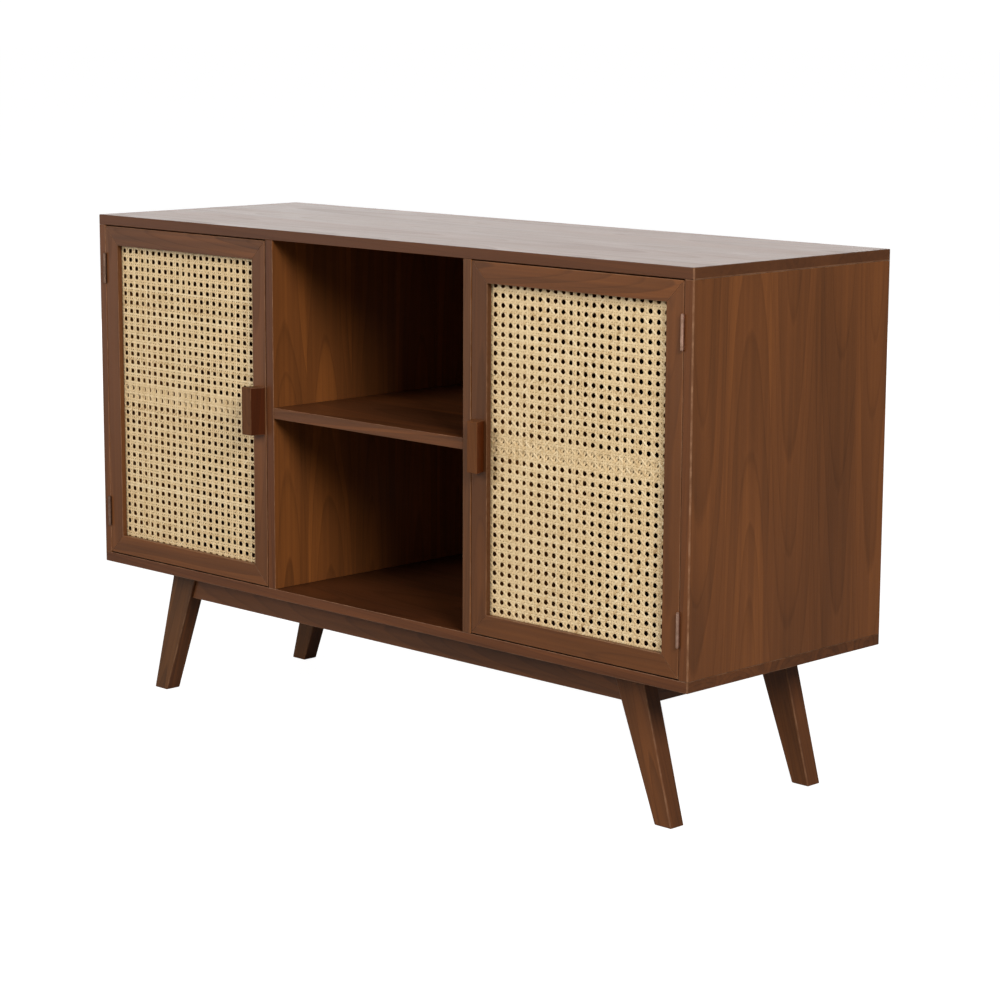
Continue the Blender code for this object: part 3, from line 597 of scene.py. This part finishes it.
def weave(rng, lattice, box, y_mid, front, columns, rows, ribbons, sizes, tone_base=0.5, shift=(0.0, 0.0)):
    """Fills box = (x0, x1, z0, z1) with strands. front is -1: the face looks to -Y. shift moves the mesh by part of a pitch.
    sizes: half the spacing and the width of the upright pairs, the same for the level pairs, the width of the slants."""
    x0, x1, z0, z1 = box
    uprights, levels, slants = ribbons
    out = (0.0, float(front), 0.0)
    thick = 0.00036
    lift = 0.00019

    def place(column, row):
        return lattice.x(column + shift[0]), lattice.z(row + shift[1])

    def cut(points, side, width):
        """Keeps the part inside the box."""
        inside = (points[:, 0] >= x0) & (points[:, 0] <= x1) & (points[:, 2] >= z0) & (points[:, 2] <= z1)
        if inside.sum() < 3:
            return None
        first, last = np.argmax(inside), len(inside) - np.argmax(inside[::-1])
        return slice(first, last)

    pair_x, upright_width, pair_z, level_width, slant_width = sizes
    # upright strands
    for col in range(-2, columns + 2):
        for mate in (-1, 1):
            marks = []
            for row in np.arange(-2, rows + 2):
                h = row + 0.5
                marks += [(row - 0.0, 0.0), (h - 0.30, 0.0), (h - 0.145, 1.0), (h + 0.145, -1.0), (h + 0.30, 0.0)]
            rr = np.array([m[0] for m in marks])
            sign = np.array([m[1] for m in marks]) * mate * (1 if (col % 2 == 0) else -1)
            cx, cz = place(np.full(len(rr), col + 0.5), rr)
            wander = drift(rng, rr * 0.013, 0.00022, 0.11) + rng.normal(0, 0.00010)
            px = cx + mate * pair_x + wander
            points = np.stack([px, y_mid + front * lift * sign, cz], axis=1)
            part = cut(points, None, None)
            if part is None:
                continue
            n = part.stop - part.start
            width = np.full(n, upright_width * rng.normal(1, 0.035)) * (1 + drift(rng, rr[part] * 0.013, 0.05, 0.05))
            side = np.tile([1.0, 0.0, 0.0], (n, 1))
            uprights.strand(points[part], side * -front, out, width, thick, np.clip(tone_base + rng.normal(0, 0.16), 0, 1))
    # level strands
    for row in range(-2, rows + 2):
        for mate in (-1, 1):
            marks = []
            for col in np.arange(-2, columns + 2):
                h = col + 0.5
                marks += [(col - 0.0, 0.0), (h - 0.28, 0.0), (h - 0.135, 1.0), (h + 0.135, -1.0), (h + 0.28, 0.0)]
            cc = np.array([m[0] for m in marks])
            sign = -np.array([m[1] for m in marks]) * mate * (1 if (row % 2 == 0) else -1)
            cx, cz = place(cc, np.full(len(cc), row + 0.5))
            wander = drift(rng, cc * 0.014, 0.00024, 0.09) + rng.normal(0, 0.00010)
            pz = cz - mate * pair_z + wander
            # the sign of the uprights at these crossings alternates with the column
            flip = np.where(np.floor(cc + 0.5 - 1e-6).astype(int) % 2 == 0, 1, -1)
            points = np.stack([cx, y_mid + front * lift * sign, pz], axis=1)
            part = cut(points, None, None)
            if part is None:
                continue
            n = part.stop - part.start
            width = np.full(n, level_width * rng.normal(1, 0.035)) * (1 + drift(rng, cc[part] * 0.014, 0.05, 0.05))
            side = np.tile([0.0, 0.0, 1.0], (n, 1))
            # painted shade: the two mates are darkened along the edges where they meet, for the shade of the groove
            # between them
            edges = (-0.35, -0.95) if mate > 0 else (-0.95, -0.35)
            levels.strand(points[part], side * front, out, width, thick, np.clip(tone_base + rng.normal(0, 0.18), 0, 1), edges)
    # slanting strands
    for family in (1, -1):
        span = columns + rows + 6
        for k in range(-span, span):
            t = np.arange(-2.0, columns + 1.01, 0.125)
            row = (t - k - 0.5) if family > 0 else (-t + k + 0.5)
            keep = (row > -2.4) & (row < rows + 1.4)
            if keep.sum() < 4:
                continue
            t, row = t[keep], row[keep]
            cx, cz = place(t, row)
            # t half-way between whole numbers lies on an upright pair, t whole lies on a level pair
            h = plateau(-np.cos(2 * np.pi * t)) * family
            wander = drift(rng, t * 0.019, 0.00028, 0.12) + rng.normal(0, 0.00012)
            d = np.gradient(np.stack([cx, cz], axis=1), axis=0)
            d /= np.linalg.norm(d, axis=1)[:, None]
            across = np.stack([-d[:, 1], np.zeros(len(t)), d[:, 0]], axis=1)
            points = np.stack([cx, y_mid + front * 0.00040 * h, cz], axis=1) + across * wander[:, None]
            part = cut(points, None, None)
            if part is None:
                continue
            n = part.stop - part.start
            width = np.full(n, slant_width * rng.normal(1, 0.035)) * (1 + drift(rng, t[part] * 0.019, 0.045, 0.05))
            turn = 1.0 if family > 0 else 1.0
            slants.strand(points[part], across[part] * turn, out, width, thick, np.clip(tone_base + rng.normal(0, 0.17), 0, 1))


CANE_PLAN = {
    # side: (first hole column from the left edge of the opening, pitch, first row below its top edge, pitch, band row, rows, how far
    # the second length is out of step, strand sizes)
    "left": (0.0062, 0.01402, 0.0075, 0.01306, 16, 34, (0.15, 0.05), (0.00200, 0.0036, 0.00200, 0.0031, 0.0020)),
    "right": (0.0067, 0.01372, 0.0155, 0.01295, 15, 34, (0.24, 0.21), (0.00192, 0.0034, 0.00182, 0.0031, 0.0031)),
}
for side, tag in SIDES:
    first_x, pitch_x, first_z, pitch_z, band, rows, shift, sizes = CANE_PLAN[tag]
    low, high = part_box(f"cane_panel_{tag}")
    rng = np.random.default_rng(70 + side)
    tuck = 0.0077
    left_edge, top_edge = low.x + tuck, high.z - tuck
    columns = 23
    lattice = Lattice(rng, left_edge + first_x, pitch_x, top_edge - first_z, pitch_z, columns, rows, 4)
    box = (low.x + 0.0004, high.x - 0.0004, low.z + 0.0004, high.z - 0.0004)
    y_mid = low.y + 0.0008
    sets = [Ribbons() for _ in range(3)]
    weave(rng, lattice, box, y_mid, -1, columns, rows, sets, sizes, 0.60)
    # the splice: the end of a second length of webbing, laid behind over two rows
    z_high, z_low = float(lattice.z(band - 0.62)), float(lattice.z(band + 1.60))
    weave(rng, lattice, (box[0], box[1], z_low, z_high), y_mid + 0.00105, -1, columns, rows, sets, sizes, 0.55, shift)
    for ribbons, name in zip(sets, ("uprights", "levels", "slants")):
        piece = ribbons.build(f"cane_{name}_{tag}")
        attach(piece, f"door_{tag}")
        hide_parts(f"cane_panel_{tag}")


# ------------------------------------------------------------------ floor, light, camera
def stage_floor():
    """A pale, plain floor: close to white where it is seen, and dull in what it throws back on the object."""
    mesh = bpy.data.meshes.new("studio_floor")
    size = 60.0
    mesh.from_pydata([(-size, -size, -0.0004), (size, -size, -0.0004), (size, size, -0.0004), (-size, size, -0.0004)], [], [(0, 1, 2, 3)])
    mat = bpy.data.materials.new("studio_floor_paint")
    mat.use_nodes = True
    mat.node_tree.nodes.clear()
    g = Graph(mat.node_tree)
    place = g.node("ShaderNodeTexCoord").outputs["Object"]
    speck = g.noise(g.scaled(place, 3.0, 3.0, 3.0), detail=2.0)
    paint = g.node("ShaderNodeBsdfDiffuse", {"Color": g.mix(speck, (0.30, 0.30, 0.30), (0.32, 0.32, 0.32))})
    glow = g.node("ShaderNodeEmission", {"Color": (1.0, 1.0, 1.0), "Strength": 0.94})
    both = g.node("ShaderNodeAddShader", {0: paint.outputs[0], 1: glow.outputs[0]})
    seen = g.node("ShaderNodeLightPath").outputs["Is Camera Ray"]
    blend = g.node("ShaderNodeMixShader", {0: seen, 1: paint.outputs[0], 2: both.outputs[0]})
    out = g.node("ShaderNodeOutputMaterial", {0: blend.outputs[0]})
    mesh.materials.append(mat)
    floor = bpy.data.objects.new("studio_floor", mesh)
    bpy.context.scene.collection.objects.link(floor)


stage_floor()
world = bpy.data.worlds.new("studio_white")
bpy.context.scene.world = world
world.use_nodes = True
world.node_tree.nodes.clear()
g = Graph(world.node_tree)
seen = g.node("ShaderNodeLightPath").outputs["Is Camera Ray"]
dim = g.node("ShaderNodeBackground", {"Color": (1.0, 0.99, 0.97), "Strength": 0.20})
white = g.node("ShaderNodeBackground", {"Color": (1.0, 1.0, 1.0), "Strength": 1.05})
g.node("ShaderNodeOutputWorld", {0: g.node("ShaderNodeMixShader", {0: seen, 1: dim.outputs[0], 2: white.outputs[0]}).outputs[0]})


def softbox(name, place, aim, size, radiance, colour=(1, 1, 1)):
    """A rectangular soft light. radiance is how bright its face is, where 1 is the white of the backdrop."""
    lamp = bpy.data.lights.new(name, "AREA")
    lamp.shape = "RECTANGLE"
    lamp.size, lamp.size_y = size
    lamp.energy = radiance * math.pi * size[0] * size[1]
    lamp.color = colour
    obj = bpy.data.objects.new(name, lamp)
    bpy.context.scene.collection.objects.link(obj)
    obj.location = place
    obj.rotation_euler = (Vector(aim) - Vector(place)).to_track_quat("-Z", "Y").to_euler()
    obj.visible_camera = False
    return obj


softbox("front_softbox", (-1.3, -4.4, 2.6), (0, 0, 0.45), (2.0, 2.2), 8.4)
softbox("left_card", (-2.5, -1.95, 0.55), (-0.4, -0.2, 0.5), (1.5, 1.1), 1.0)
softbox("right_softbox", (4.1, -1.9, 2.9), (0.3, 0, 0.45), (1.6, 1.8), 20.5)
softbox("backdrop", (-3.6, 3.8, 1.3), (0, 0, 0.5), (6.0, 2.6), 1.92, (1.0, 0.985, 0.97))

camera = bpy.data.objects.new("camera", bpy.data.cameras.new("camera"))
bpy.context.scene.collection.objects.link(camera)
AZ, EL, ROLL = (math.radians(a) for a in (44.652, 10.115, 0.252))
forward = Vector((-math.sin(AZ) * math.cos(EL), math.cos(AZ) * math.cos(EL), -math.sin(EL)))
right = Vector((math.cos(AZ), math.sin(AZ), 0))
up = right.cross(forward)
right_rolled = right * math.cos(ROLL) + up * math.sin(ROLL)
up_rolled = up * math.cos(ROLL) - right * math.sin(ROLL)
turn = Matrix((right_rolled, up_rolled, -forward)).transposed()
camera.matrix_world = Matrix.Translation(Vector((2.81342, -2.76857, 1.05355))) @ turn.to_4x4()
camera.data.sensor_width = 36.0
camera.data.lens = 99.30
camera.data.clip_end = 200.0
bpy.context.scene.camera = camera
bpy.context.scene.view_settings.view_transform = "Standard"
bpy.context.scene.view_settings.look = "None"
